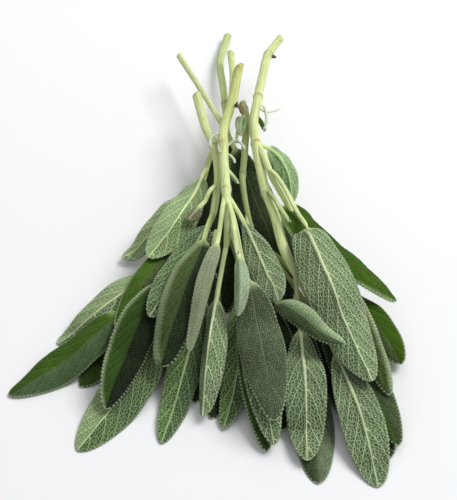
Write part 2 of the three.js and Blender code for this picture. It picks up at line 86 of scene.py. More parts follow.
# A leaf: key, side seen from above ("u" under, "t" top), rank in the pile, distance of its root
# from the cut, tip x and y, sideways bow, width, stalk share, then what differs from the usual.
LEAF_COLUMNS = "key", "face", "rank", "at", "x", "y", "bow", "wide", "stalk"
USUAL = dict(roll=0, fold=8, curl=25, belly=0.48, foot=0.6, end=0.5, wave=0.5, tip=0.25, slim=1)
FLAT = dict(fold=3, curl=8, wave=0.3)
SPRIGS = [
    ("south_sprig", 0.2, (1.8, 1), 0.6, [52, 96],
     [(-0.5, 130, 2), (-4, 110, 4.5), (-2.4, 90, 7), (-1, 68, 8), (0, 47, 8), (-2, 28, 7), (-5, 10, 6)],
     [("f3", "t", 3.5, 115, -41, -77, 3, 15, 0.46, FLAT),
      ("f5", "t", 0.3, 70, -2, -34, -2, 21, 0.05, FLAT),
      ("l8", "t", 4, 119, -13, -76, 0, 13, 0.29, FLAT),
      ("l7b", "u", 10.5, 113, -2, -88, 9, 13.5, 0.42, FLAT),
      ("l30", "t", 6, 112, -58.5, -68.5, 5, 14.5, 0.52, FLAT),
      ("l7a", "t", 5, 118, -7, -83, 12, 14, 0.36, {}),
      ("l9", "u", 13, 119, -25.6, -94, 3.2, 14, 0.41, dict(roll=-10))]),
    ("west_low_sprig", 0.4, (1.6, 1), -0.5, [39],
     [(1, 108, 12), (2, 92, 13), (1, 72, 14), (-3, 54, 14), (-8, 40, 13), (-11, 27, 11), (-15, 12, 9)],
     [("f1", "t", 3, 93, -51, -62, 0, 14.5, 0.47, FLAT),
      ("l28", "u", 7, 98, -69, -48, 9.5, 15.5, 0.35, dict(roll=-2)),
      ("l33", "u", 8, 97, -57.3, -97, 9.3, 20.6, 0.44, dict(roll=-5, belly=0.5)),
      ("l1", "u", 9, 76, -45, -6.5, 8.5, 13.5, 0.1, dict(roll=-12, tip=3)),
      ("l29", "t", 15, 96, -86, -72.5, 14, 17, 0.54, dict(roll=-8, fold=18, belly=0.45, wave=1.6)),
      ("l32", "t", 15.5, 97, -44, -51, 0, 12.5, 0.31, {}),
      ("l2", "u", 16, 73, -32.5, -17.5, 4, 16, 0.17, dict(roll=-8, belly=0.6, tip=6))]),
    ("south_east_sprig", 0.6, (1.4, 1), 0.5, [54],
     [(-23, 103, 15), (-13, 80, 17), (-4, 58, 19), (3, 42, 17), (8, 26, 12), (11, 9, 9)],
     [("l24", "t", 1, 99, 33.6, -111, 5, 17.6, 0.46, dict(belly=0.58)),
      ("f2", "t", 2, 101, 47, -87, 5, 14.5, 0.45, FLAT),
      ("f4", "t", 2.5, 101, 36, -80, -1, 15.5, 0.37, FLAT),
      ("l26", "t", 11.8, 99, 14.5, -98, -4, 13, 0.41, FLAT),
      ("l13", "t", 11.7, 58, 24, -34, 2, 20, 0.1, dict(tip=6)),
      ("l27", "t", 5.5, 99, 21, -89, 1.5, 15.5, 0.45, FLAT)]),
    ("stub_sprig", 11.9, (1.8, 0.9), 0.9, [4, 43],
     [(6, 67, 20), (8, 55, 21), (7, 37, 22), (6, 20, 19), (8, 3, 15), (11, -9, 12)],
     [("l25", "u", 12.2, 65, 17.2, -97, -2.6, 14, 0.43, FLAT),
      ("l20", "t", 15.5, 76, 61.5, -100, 5, 15, 0.45, FLAT),
      ("l19", "t", 17, 76, 64.6, -96, 6, 14.6, 0.42, FLAT),
      ("l23", "t", 26.5, 76, 45, -62, -10, 9.5, 0.5, dict(roll=22, fold=8, curl=20, belly=0.38, tip=14)),
      ("stalk_1", "u", 38, 7, 3.4, 39, -0.8, 2.4, 0.97, dict(tip=21)),
      ("leaflet_1", "u", 40, 8, 5.4, 36.5, -1, 5.2, 0.08, dict(tip=20, foot=0.4)),
      ("husk_1", "u", 41, 1, 6, 48, -1, 3.4, 0.08, dict(tip=22, fold=30, curl=60, wave=1.5)),
      ("husk_3", "u", 42, 3, 4, 57.5, -2, 3.5, 0.1, dict(tip=23, fold=40, curl=80))]),
    ("east_sprig", 17.5, (1.8, 2.1), -0.8, [14, 45, 72, 99],
     [(24, 107, 22), (18, 94, 24), (15, 77, 26), (13, 64, 27), (11, 49, 27), (12, 35, 26),
      (14, 20, 25), (16, 10, 23), (19.5, -4, 20), (22, -16, 16), (27, -29, 12)],
     [("l22", "u", 18, 141, 29.5, -103, 1, 16, 0.3, dict(belly=0.52, foot=0.45, fold=4, curl=10)),
      ("l21", "u", 19, 140, 55.8, -112.5, 4, 17, 0.4, dict(belly=0.55, foot=0.5, fold=4, curl=10)),
      ("l17", "t", 17.7, 141, 68.3, -60.3, 7.8, 14.5, 0.33, dict(tip=4, fold=4, curl=15)),
      ("l18", "t", 21.9, 99, 62, -77.5, 3.8, 14, 0.38, dict(roll=8, fold=5, curl=20, belly=0.38)),
      ("l14", "u", 22.2, 72, 27, 18, 5, 11.6, 0.18, dict(fold=20, belly=0.42, curl=50, tip=10)),
      ("wisp_3", "u", 36, 45, 23, 60, -6.5, 2.2, 0.24, dict(tip=24)),
      ("wisp_4", "u", 37, 46, 15, 45, 2.5, 2.6, 0.23, dict(tip=26)),
      ("leaflet_3", "t", 40, 55, 15.8, 45.5, 0.5, 2.8, 0.1, dict(tip=25, fold=30)),
      ("husk_2", "u", 41, 14, 21.3, 91, 0.8, 2.6, 0.2, dict(tip=25, fold=35, curl=60)),
      ("stalk_2", "u", 44, 82, 31.9, -15.8, 1.6, 2.4, 0.97, dict(tip=25)),
      ("stalk_3", "u", 45, 95, 24.6, -9.5, -0.4, 2.4, 0.97, dict(tip=22))]),
    ("east_sprig", 22.4, (1.4, 1.3), 0, [],
     [(12, 38, 26), (15, 28, 28), (18, 17, 28), (23, 6, 27), (26, 0, 25), (30, -8, 23)],
     [("l15", "t", 23, 35, 68, -33.3, -7, 17.5, 0.03, dict(roll=-15, fold=10, belly=0.38, tip=9)),
      ("l16", "u", 24.2, 49, 55, -74.5, -1, 22.5, 0.04, dict(belly=0.45, fold=12, tip=9, foot=0.5))]),
    ("west_high_sprig", 20.4, (2, 1.4), 0.7, [36],
     [(-14.2, 72, 20), (-10.4, 52, 22), (-6, 37, 24), (-4.5, 22, 22), (-6, 6, 20), (-9, -4, 17)],
     [("l31", "t", 21, 77, -47, -82, -4, 16.5, 0.37, dict(roll=-17, fold=-13)),
      ("l3", "u", 25, 74, -31, -48, 1, 15, 0.05, dict(roll=-15, belly=0.5, curl=20, tip=10)),
      ("dry_leaf", "u", 26, 54, -16.5, -3.5, 1, 7, 0.7, dict(tip=20, fold=25, curl=45)),
      ("l4", "t", 30, 66, -26, -67, 1.5, 18, 0.27, dict(roll=8, fold=5, curl=20, end=0.35, tip=6))]),
    ("crown_sprig", 24.5, (2, 1.8), 2.2, [52, 76],
     [(4.6, 86, 24), (1.6, 63, 26), (-2, 44, 28), (-2, 29, 28), (-1, 10, 27), (0, -4, 25),
      (-1, -17, 22)],
     [("l12", "u", 27, 78, 19.5, -43, 2, 13, 0.26, dict(roll=10, fold=-2, curl=30, belly=0.58, tip=12)),
      ("l6", "u", 28.5, 102, -10, -84, -1, 15, 0.34, dict(roll=25, fold=42, curl=10, belly=0.5, tip=4)),
      ("l5", "u", 31, 73, -15, -65, 2.2, 8, 0.39,
       dict(roll=-22, fold=33, curl=15, belly=0.43, end=0.35, tip=12)),
      ("l11", "t", 32, 77, 17.5, -90, 0.5, 18.5, 0.45, dict(belly=0.48, roll=5)),
      ("cut_stalk", "u", 33.5, 78, 3.4, -26, 0.5, 2, 0.92, dict(tip=24)),
      ("l10", "u", 33, 89, 3.5, -52, 2.5, 8, 0.47, dict(roll=20, fold=30, tip=16)),
      ("wisp_1", "u", 36, 45, -7, 32, -3, 2.4, 0.15, dict(tip=29)),
      ("wisp_2", "u", 36.5, 55, 7, 30, 5.5, 2.1, 0.15, dict(tip=30)),
      ("bract", "u", 41, 46, -3.4, 28.5, -1.2, 2.8, 0.1, dict(tip=30, fold=25, curl=50)),
      ("curl_1", "u", 42, 57, 2.6, 23.5, 1.5, 2, 0.1, dict(tip=29, fold=20, curl=60)),
      ("young", "u", 43, 64, 4.2, 13, 0.5, 3.2, 0.12, dict(tip=28, fold=30, curl=40))]),
]

# How a leaf's colour departs from the common one (red, green, blue), how strongly its net shows,
# and how pale its felt is. Many of these tones paint light and shade into the colour: the dark
# ones (deep, forest, dusk, shade, night, dim) are painted shade for leaves lying under others, and
# the pale ones (frost, pale, bright) are partly the paler felt and partly painted light.
TONES_AND_PAINTED_LIGHT = dict(
    plain=(1, 1, 1, 1, 0), bright=(1.2, 1.2, 1.2, 1, 0.1), pebbly=(1.45, 1.42, 1.5, 1, 0.1),
    frost=(1.55, 1.58, 1.4, 0.85, 0.3), pale=(1.6, 1.8, 1.5, 0.8, 0.35), lime=(1.2, 1.25, 1, 1, 0.2),
    deep=(0.75, 0.84, 0.7, 1, 0), forest=(0.66, 0.8, 0.55, 1, 0), dusk=(0.5, 0.56, 0.48, 0.9, 0),
    shade=(0.42, 0.5, 0.4, 0.9, 0), night=(0.22, 0.29, 0.2, 0.9, 0), grainy=(1.75, 1.75, 1.8, 1, 0.25),
    silver=(0.85, 1, 0.62, 0.5, 0), ashen=(0.92, 0.9, 0.86, 0.35, 1), mint=(1.05, 1.12, 1.12, 0.05, 1),
    fresh=(0.64, 0.98, 0.17, 0.3, 0), vivid=(0.5, 0.82, 0.07, 0.25, 0), moss=(0.52, 0.78, 0.27, 0.4, 0),
    dim=(0.38, 0.6, 0.18, 0.3, 0), fern=(0.95, 1.16, 0.92, 0.5, 0.15), olive=(0.88, 0.98, 0.58, 0.6, 0),
    dull=(0.85, 0.95, 0.8, 0.8, 0.1), down=(2.1, 2, 2.6, 0.1, 1),
)
# Where two tones are named, the first is that of the half on the leaf's right, from stalk to tip.
# Most pairs are a lit and a shaded copy of one leaf: the half turned to the light is painted
# lighter and the other half is painted in shade. The filler leaves f2, f4 and f5, laid low under
# the neck where there is only shade, are painted in shade as well.
LEAF_TONES_AND_PAINTED_LIGHT = dict(
    l1="frost", l2="frost lime", l3="deep plain", l4="silver shade", l5="ashen", l6="bright",
    l7a="dusk", l7b="forest dusk", l8="dusk", l9="forest dusk", l10="mint", l11="pebbly",
    l12="plain bright", l13="deep", l14="pale", l15="vivid", l16="plain bright", l17="olive vivid",
    l18="olive", l19="moss dull", l23="dull pale", l24="dull grainy", l26="moss", l27="dusk",
    l28="frost bright", l29="fresh fern", l30="moss", l31="dim night", l32="fresh olive",
    l33="frost deep", f2="dusk", f4="shade", f5="shade", wisp_1="down", wisp_2="down", wisp_3="down",
    wisp_4="down", bract="down", curl_1="down", young="bright lime", leaflet_1="ashen forest",
    leaflet_3="moss", stalk_3="night",
)
# How withered a leaf is.
DRY = dict(dry_leaf=0.45, husk_1=1, husk_2=1, husk_3=1)
# Width of a leaf's pale turned hem in millimetres: positive on its left half.
HEMS = dict(l4=-4.2, l31=-1.8, l23=4.2, l18=2.6, l32=-1, l29=1.2, l15=-1.8)
# Growth that is finer than the common leaf stalk, and by how much.
SLIM = dict(wisp_1=0.5, wisp_2=0.55, wisp_3=0.4, wisp_4=0.5, bract=0.6, curl_1=0.6, stalk_1=0.75)
# How a stem's colour departs from the common one at its cut and at its far end, and how brown its
# cut end has turned. The stub's darker tones are painted shade, darkest at its far end, which lies
# deep in the pile; its brown cut is its own colour.
PLAIN_STEM = ((1, 1, 1), (1, 1, 1), 0.4)
STEM_TONES_AND_SHADE = dict(
    south_sprig=((0.78, 0.84, 0.78), (0.85, 0.9, 0.85), 0.1),
    south_east_sprig=((1.06, 1.02, 1.1), (1.05, 1.08, 1.1), 0.15),
    stub_sprig=((0.66, 0.64, 0.55), (0.5, 0.56, 0.45), 1),
    crown_sprig=((0.84, 0.8, 0.6), (1.12, 1.12, 1.15), 0.95),
    east_sprig=((1, 1, 0.95), (1.12, 1.12, 1.12), 0.5),
    west_high_sprig=((1, 1, 1), (1.1, 1.1, 1.1), 0.4),
)


# ---- laying the bunch down
def smooth(t, low, high):
    k = np.clip((np.asarray(t, float) - low) / (high - low), 0, 1)
    return k * k * (3 - 2 * k)


def curve_points(points, n):
    """n points on a uniform Catmull-Rom curve through the given ones."""
    p = np.array(points, float)
    ends = np.vstack([2 * p[0] - p[1], p, 2 * p[-1] - p[-2]])
    t = np.linspace(0, len(p) - 1, n)
    i = np.minimum(t.astype(int), len(p) - 2)
    w = (t - i)[:, None]
    x0, x1, x2, x3 = (ends[i + k] for k in range(4))
    a, b = 0.5 * (x2 - x0), 0.5 * (x3 - x1)
    return x1 + a * w + (-3 * x1 + 3 * x2 - 2 * a - b) * w**2 + (2 * x1 - 2 * x2 + a + b) * w**3


def lengths(points):
    return np.append(0, np.cumsum(np.linalg.norm(np.diff(points, axis=0), axis=1)))


def unit(vectors):
    return vectors / np.linalg.norm(vectors, axis=1)[:, None]


def hill(x, width):
    return np.exp(-((x / width) ** 2))


def columns_at(d, s, table):
    return np.stack([np.interp(d, s, column) for column in np.asarray(table).T], -1)


class Piles:
    """The height map: one layer for each leafy stem, in cells of 1 mm."""

    def __init__(self, names):
        self.layers = {n: np.full(GRID_X * GRID_Y, SINK) for n in names}

    def cell(self, x, y):
        j = np.clip(np.floor(x + GRID_LEFT).astype(int), 1, GRID_X - 2)
        i = np.clip(np.floor(y + GRID_NEAR).astype(int), 1, GRID_Y - 2)
        return i * GRID_X + j

    def read(self, name, x, y, own):
        """How high the named stem's own layer reaches at each place, or else all the others."""
        c = self.cell(x, y)
        return np.max([h[c] for n, h in self.layers.items() if (n == name) == own], axis=0)

    def put(self, name, x, y, z):
        c = self.cell(x, y)
        for di in (-1, 0, 1):
            for dj in (-1, 0, 1):
                np.maximum.at(self.layers[name], c + di * GRID_X + dj, z)


def envelope(s, need, droop):
    """The lift that keeps a line over its needs without a sharp bend."""
    rise = need[None, :] - droop * (s[:, None] - s[None, :]) ** 2
    return np.log(1 + np.exp(SOFT * np.minimum(rise, HIGHEST)).sum(1)) / SOFT


class Leaf:
    """A leaf's shape at u, from its root to its tip, and v, from its right margin to its left."""

    def __init__(self, *row):
        self.__dict__.update({**USUAL, **dict(zip(LEAF_COLUMNS, row)), **row[-1]})
        self.to, self.small = np.array([self.x, self.y], float), self.wide <= SMALL

    def plan(self, u):
        """Place and left-hand side of the middle line, seen from above."""
        u = np.asarray(u, float)[:, None]
        d = self.to - self.root[:2]
        left = np.array([-d[1], d[0]]) / np.hypot(*d)
        mid = (self.root[:2] + self.to) / 2 + left * self.bow * 2
        p = (1 - u) ** 2 * self.root[:2] + 2 * u * (1 - u) * mid + u * u * self.to
        t = unit((1 - u) * (mid - self.root[:2]) + u * (self.to - mid))
        return p, np.stack([-t[:, 1], t[:, 0]], -1)

    def half_width(self, u):
        t = np.clip((u - self.stalk) / (1 - self.stalk), 0, 1)
        p = math.log(0.5) / math.log(self.belly)
        lobe = np.maximum(np.sin(np.pi * t**p), 0) ** (self.foot + (self.end - self.foot) * t)
        return self.slim * np.maximum(self.wide / 2 * lobe, STALK_HALF * (1 - smooth(u, 0.9, 1)) + 0.2)

    def shape(self, u, v):
        """Place, height over the middle line and slope of the blade at each u and v."""
        u = np.asarray(u, float)
        v = np.broadcast_to(np.asarray(v, float), (len(u), len(v)))
        p, side = self.plan(u)
        up = smooth(u, 0.6 * self.stalk, min(self.stalk + 0.2, 0.95))[:, None]
        half = self.half_width(u)[:, None]
        across, high = np.zeros_like(v), np.zeros_like(v)
        roll, fold, curl = (np.radians(x * up) for x in (self.roll, self.fold, self.curl))
        for k in range(CURL_STEPS):
            w = (k + 0.5) / CURL_STEPS * np.abs(v)
            angle = np.clip(roll - np.sign(v) * (fold + curl * w**3), -STEEPEST, STEEPEST)
            across = across + half * v / CURL_STEPS * np.cos(angle)
            high = high + half * v / CURL_STEPS * np.sin(angle)
        angle = np.where(v == 0, roll, angle)
        ripple = np.sin(u[:, None] * RIPPLES + self.rank + np.sign(v) * OFFBEAT)
        ripple = ripple * v * v * np.minimum(1, half / 6)
        return (p[:, :1] + side[:, :1] * across, p[:, 1:] + side[:, 1:] * across,
                high + self.wave * up * ripple, angle, side)

    def ribs(self, u):
        """How far the upper and lower surfaces stand off at the midrib."""
        in_stalk = 1 - smooth(u, self.stalk, self.stalk + 0.12)
        keel = (1 - in_stalk) * (1 - smooth(u, 0.75, 0.98))
        return [BLADE / 2 + KEEL * (0.6 * in_stalk + keel * (self.face == face)) for face in "ut"]

    def lay(self, piles, stem):
        self.root, slope = stem.root(self.at)
        low, name = self.root[2], stem.name
        self.s = lengths(self.plan(ALONG)[0])
        total = self.s[-1]
        natural = low + slope * self.s + (self.tip - low - slope * total) * (self.s / total) ** 2
        x, y, dz, _, _ = self.shape(ALONG, ACROSS)
        off = GAP - dz + np.where(ACROSS == 0, self.ribs(ALONG)[1][:, None], BLADE / 2)
        worst = (piles.read(name, x, y, False) + off).max(1)
        own = (piles.read(name, x, y, True) + off).max(1)
        need = np.where(self.s > OWN_REACH, np.maximum(worst, own), worst) - natural
        need[0] = min(need[0], 0)
        lift = envelope(self.s, need, DROOP)
        self.zs = natural + lift - lift[0] * (1 - smooth(self.s, 0, ROOT_EASE))
        x, y, dz, _, _ = self.shape(MAP_ALONG, MAP_ACROSS)
        top = np.where(MAP_ACROSS == 0, self.ribs(MAP_ALONG)[0][:, None], BLADE / 2)
        piles.put(name, x, y, np.interp(MAP_ALONG, ALONG, self.zs)[:, None] + dz + top)


class Stem:
    """A stem's middle line, laid on the piles, with its radius."""

    def __init__(self, *row):
        self.__dict__.update(zip(STEM_COLUMNS, row))
        self.leaves = [Leaf(*leaf) for leaf in self.leaves]

    def lay(self, piles):
        c = curve_points(self.points, STEM_POINTS)
        s = self.s = lengths(c)
        self.radius = self.r[0] + (self.r[1] - self.r[0]) * s / s[-1]
        padded = np.vstack([c[:1], c, c[-1:]])
        run = unit((padded[2:] - padded[:-2])[:, :2])
        side = np.stack([-run[:, 1], run[:, 0]], -1)
        need = np.full(STEM_POINTS, -np.inf)
        for f in STEM_ACROSS:
            x, y = (c[:, :2] + side * (self.radius * f)[:, None]).T
            h = piles.read(self.name, x, y, False)
            need = np.maximum(need, h + GAP - (c[:, 2] - self.radius * math.sqrt(1 - f * f)))
        self.line = c + np.array([0, 0, 1]) * envelope(s, need, STEM_DROOP)[:, None]
        d = STEM_ALONG * s[-1]
        x, y, z, r, sx, sy = columns_at(d, s, np.column_stack([self.line, self.radius, side])).T
        for f in STEM_ACROSS:
            piles.put(self.name, x + sx * r * f, y + sy * r * f, z + r * math.sqrt(1 - f * f))

    def on(self, d):
        return columns_at(np.clip(d, 0, self.s[-1]), self.s, self.line)

    def root(self, at):
        a, b = self.on(at - 2), self.on(at + 2)
        slope = (b[2] - a[2]) / math.hypot(b[0] - a[0], b[1] - a[1])
        return self.on(at), min(max(slope, -0.5), 0.5)


@cache
def laid_bunch():
    """The stems with their leaves, laid in the order of their ranks."""
    stems = [Stem(*row) for row in SPRIGS]
    piles = Piles({s.name for s in stems})
    jobs = []
    for stem in stems:
        jobs.append((stem.rank, partial(stem.lay, piles)))
        for leaf in stem.leaves:
            jobs.append((leaf.rank, partial(leaf.lay, piles, stem)))
    for _, job in sorted(jobs, key=lambda j: j[0]):
        job()
    return stems


def metres(points):
    return (points - np.array([*CENTRE, 0])) / 1000


# ---- meshes, still in millimetres
STALK_RING = 1.3  # between rings of a leaf stalk
LEAF_COLUMN = 0.6  # between columns of a blade
STEM_RING = 0.8  # between rings of a stem
STEM_SIDES = 20
VEIN_SLANT, VEIN_BEND = 1.9, 0.04  # how side veins lean to the tip, and how they arch
FLOOR_EASE = 4  # how sharply a leaf flattens where it meets the surface, per mm
LOWEST = 0.3  # height of the middle of a blade that lies on the surface
CUT_RINGS = ((0.5, 0.25), (0.86, 0))  # rings of a cut face: share of its radius, depth
FULL_WIDTH = 12  # from this width on, a leaf's teeth and veins have their full size
PILLOW = 0.3  # how far a blade bulges between its side veins
DENT = 0.14  # how deep the midrib lies in the upper side
STALK_RADIUS, GROOVE = 0.72, 0.3
THINNEST = 0.03  # half the least thickness inside a margin


def shelve(strips, margin=1, growth=1.02):
    """Lays strips in shelves on a square sheet: the corner of each, and the side of the sheet."""
    side = math.sqrt(sum(w * h for w, h in strips))
    while True:
        corners = np.zeros((len(strips), 2))
        x = y = shelf = 0
        for i in sorted(range(len(strips)), key=lambda i: -strips[i][1]):
            w, h = strips[i][0] + 2 * margin, strips[i][1] + 2 * margin
            if x + w > side:
                x, y, shelf = 0, y + shelf, 0
            corners[i] = x + margin, y + margin
            x, shelf = x + w, max(shelf, h)
        if y + shelf <= side:
            return corners, side
        side *= growth


class Piece:
    """Gathers rings of vertices, faces and their facts for one mesh."""

    def __init__(self):
        self.verts, self.faces, self.slots, self.strips, self.flat = [], [], [], [], []
        self.facts, self.count = {}, 0

    def add(self, verts, faces, slots, strips, flat, **facts):
        """flat holds, for each face's corners in turn, the strip and the place on it."""
        self.verts.append(verts)
        self.faces.extend((np.asarray(f) + self.count).tolist() for f in faces)
        self.slots.append(slots)
        self.flat.append((flat[0] + len(self.strips), flat[1]))
        self.strips.extend(strips)
        for key, value in facts.items():
            self.facts.setdefault(key, []).append(value)
        self.count += len(verts)

    def finish(self, name, materials):
        mesh = bpy.data.meshes.new(name)
        mesh.from_pydata(np.vstack(self.verts).tolist(), [], self.faces)
        for m in materials:
            mesh.materials.append(m)
        mesh.polygons.foreach_set("material_index", np.concatenate(self.slots))
        mesh.shade_smooth()
        corners, side = shelve(self.strips)
        strip, place = (np.concatenate(x) for x in zip(*self.flat))
        spots = ((corners[strip] + place) / side).ravel().astype(np.float32)
        mesh.uv_layers.new(name="OFBake").data.foreach_set("uv", spots)
        for key, values in self.facts.items():
            values = np.vstack(values).astype(np.float32)
            kind = "VECTOR" if values.shape[1] == 3 else "COLOR"
            layer = mesh.attributes.new(key, f"FLOAT_{kind}", "POINT")
            layer.data.foreach_set(kind.lower(), values.ravel())
        return show(bpy.context, name, mesh)


def tube(rings, around):
    """Quads between rings and a fan over each end; then the vertex at each corner of each face in
    turn, and the face that it belongs to."""
    i, j = np.meshgrid(np.arange(rings - 1), np.arange(around), indexing="ij")
    k = (j + 1) % around
    here, there = i * around, (i + 1) * around
    quads = np.stack([here + j, there + j, there + k, here + k], -1).reshape(-1, 4)
    j, k = j[0], k[0]
    first, last, end = rings * around, rings * around + 1, (rings - 1) * around
    head = np.stack([np.full(around, first), j, k], -1)
    tail = np.stack([np.full(around, last), end + k, end + j], -1)
    faces = [*quads, *head, *tail]
    return faces, np.concatenate(faces), np.repeat(np.arange(len(faces)), [len(f) for f in faces])


def leaf_stations(leaf, settings):
    """The rings along a leaf, four to a tooth, and the tooth that each of them is in."""
    total = leaf.s[-1]
    pitch = settings.tooth_pitch * 1000
    stalk = np.linspace(0, leaf.stalk, max(int(total * leaf.stalk / STALK_RING), 3), endpoint=False)
    teeth = max(round(total * (1 - leaf.stalk) / pitch), 3)
    quarters = np.arange(4 * teeth) / 4
    blade = leaf.stalk + (1 - leaf.stalk) * quarters / teeth
    near_tip = 1 - np.array([0.2, 0.08, 0.02]) / total
    phase = np.concatenate([np.zeros(len(stalk)), quarters, teeth - np.array([0.6, 0.4, 0.2])])
    return np.concatenate([stalk, blade, near_tip]), phase


def add_leaf(piece, leaf, settings, chance):
    leaf.slim = SLIM.get(leaf.key, 1)
    u, phase = leaf_stations(leaf, settings)
    half_count = max(round(leaf.wide / 2 / LEAF_COLUMN), 3 if leaf.small else 5)
    v = np.linspace(-1, 1, 2 * half_count + 1)
    n, m = len(u), len(v)
    x, y, dz, angle, side = leaf.shape(u, v)
    s = np.interp(u, ALONG, leaf.s)
    half = leaf.half_width(u)[:, None]
    t = np.clip((u - leaf.stalk) / (1 - leaf.stalk), 0, 1)[:, None]
    in_stalk = (1 - smooth(u, leaf.stalk - 0.02, leaf.stalk + 0.06))[:, None]
    flat = v * half  # distance from the midrib
    edge = (1 - np.abs(v)) * half  # distance from the margin
    size = 0.35 if leaf.small else min(1, leaf.wide / FULL_WIDTH)

    # secondary veins run out and towards the tip; the two sides alternate
    run = np.sqrt(flat**2 + 0.1) - 0.3
    spacing = settings.vein_spacing * 1000 * (0.75 + 0.25 * size)
    along = (s - leaf.stalk * leaf.s[-1])[:, None]
    vein = (along - VEIN_SLANT * run - VEIN_BEND * run**2) / spacing
    vein = vein + 0.25 * np.tanh(flat / 0.8) + chance.random()
    cell = settings.cell_size * 1000
    shift = chance.random(2) * 40
    net = np.stack([(along - 0.6 * run) / cell + shift[0], flat / cell + shift[1], vein * 0], -1)

    # the blade bulges to its upper side between veins
    to_top = 1 if leaf.face == "t" else -1
    normal = np.stack([-side[:, :1] * np.sin(angle), -side[:, 1:] * np.sin(angle), np.cos(angle)], -1)
    calm = (1 - in_stalk) * smooth(t, 0, 0.08) * (1 - smooth(t, 0.96, 1))
    away = 1 - hill(flat, 0.9)
    pillow = PILLOW * size * calm * away * smooth(edge, 0.1, 2) * (0.5 - 0.5 * np.cos(2 * np.pi * vein))
    middle = np.stack([x, y, np.interp(u, ALONG, leaf.zs)[:, None] + dz], -1)
    tooth = np.abs(np.sin(np.pi * phase))[:, None] ** 0.8 * calm * size
    reach = settings.tooth_depth * 1000 * tooth * np.abs(v) ** 6
    outwards = np.stack([side[:, :1] * np.cos(angle), side[:, 1:] * np.cos(angle), np.sin(angle)], -1)
    middle = middle + outwards * (np.sign(v) * reach)[..., None]
    middle = middle + normal * (to_top * (pillow - 0.1 * tooth * np.abs(v) ** 4))[..., None]
    middle[..., 2] = LOWEST + np.logaddexp(0, (middle[..., 2] - LOWEST) * FLOOR_EASE) / FLOOR_EASE

    # thickness: a thin blade with a midrib under it, and a round, grooved stalk
    blade = settings.thickness * 500 * np.sqrt(1 - np.abs(v) ** 8)[None, :] + np.zeros_like(half)
    width = 0.95 * (1 - 0.6 * t) * (0.5 + 0.5 * size)
    rib = settings.midrib * 1000 * (1 - 0.8 * t) * hill(flat, width) * size * (1 - smooth(t, 0.9, 1))
    dent = DENT * size * hill(flat, 0.5) * calm
    round_stalk = STALK_RADIUS * np.sqrt(1 - v**2)[None, :] * np.minimum(half, 1)
    groove = GROOVE * hill(v, 0.35)[None, :] * np.minimum(half, 1)
    under = blade * (1 - in_stalk) + rib * (1 - in_stalk) + in_stalk * round_stalk
    upper = (blade - dent) * (1 - in_stalk) + in_stalk * (round_stalk - groove)
    high, low = (upper, under) if leaf.face == "t" else (under, upper)
    high, low = (np.where(np.abs(v) == 1, 0, np.maximum(h, THINNEST)) for h in (high, low))
    top = middle + normal * high[..., None]
    bottom = middle - normal * low[..., None]

    def ring(upper_row, lower_row):
        return np.hstack([upper_row, lower_row[:, -2:0:-1]])

    around = 2 * m - 2
    rings = ring(top, bottom).reshape(n * around, 3)
    start = top[0, half_count] - 0.6 * (top[1, half_count] - top[0, half_count])
    finish = middle[-1, half_count] + 0.5 * (middle[-1, half_count] - middle[-2, half_count])
    verts = metres(np.vstack([rings, start, finish]))
    faces, corners, face_of = tube(n, around)
    is_top = np.tile(np.arange(around) < m - 1, n + 1)
    slots = (is_top == (leaf.face == "t")).astype(int)

    # each side has its own strip on the bake sheet
    pad = leaf.wide / 2 + 0.8
    from_rib = np.append(ring(flat, flat).ravel(), [0, 0])
    from_root = np.append(np.repeat(s, around), [-1, leaf.s[-1] + 0.3])
    strips = [(2 * pad, leaf.s[-1] + 2.4)] * 2
    on_top = is_top[face_of]
    places = np.stack([pad + np.where(on_top, 1, -1) * from_rib[corners], 1.2 + from_root[corners]], -1)

    def spread(field):
        field = np.broadcast_to(field, (n, m))
        return ring(field, field).ravel()

    def fact(*fields):
        rows = np.stack([spread(f) for f in fields], -1)
        return np.vstack([rows, rows[half_count], rows[-around + half_count]])

    # Tones with the light and shade painted into them, times a random lightness, go on the mesh.
    tones = [np.array(TONES_AND_PAINTED_LIGHT[name]) for name in LEAF_TONES_AND_PAINTED_LIGHT.get(leaf.key, "plain").split()]
    tone = tones[0] + (tones[-1] - tones[0]) * smooth(flat, -0.3, 0.3)[..., None]
    lightness = 0.92 + 0.16 * chance.random()
    hem = HEMS.get(leaf.key, 0)
    hemmed = (1 - smooth(edge, 0.3 * abs(hem), abs(hem) + 0.1)) * (flat * hem > 0) * calm
    push = normal * (to_top * settings.relief * size * calm * away * smooth(edge, 0.15, 1.4))[..., None]
    piece.add(
        verts, faces, slots, strips, (np.where(on_top, 0, 1), places),
        net=fact(net[..., 0], net[..., 1], 0),
        blade=fact(flat, edge, t),
        veins=fact(vein, phase[:, None], in_stalk),
        push=fact(push[..., 0], push[..., 1], push[..., 2]),
        tint=fact(*(tone[..., k] * lightness for k in range(3)), tone[..., 3]),
        kind=fact(DRY.get(leaf.key, 0), tone[..., 4], hemmed),
    )


def add_leaves(piece, stem, settings, chance):
    for leaf in stem.leaves:
        add_leaf(piece, leaf, settings, chance)


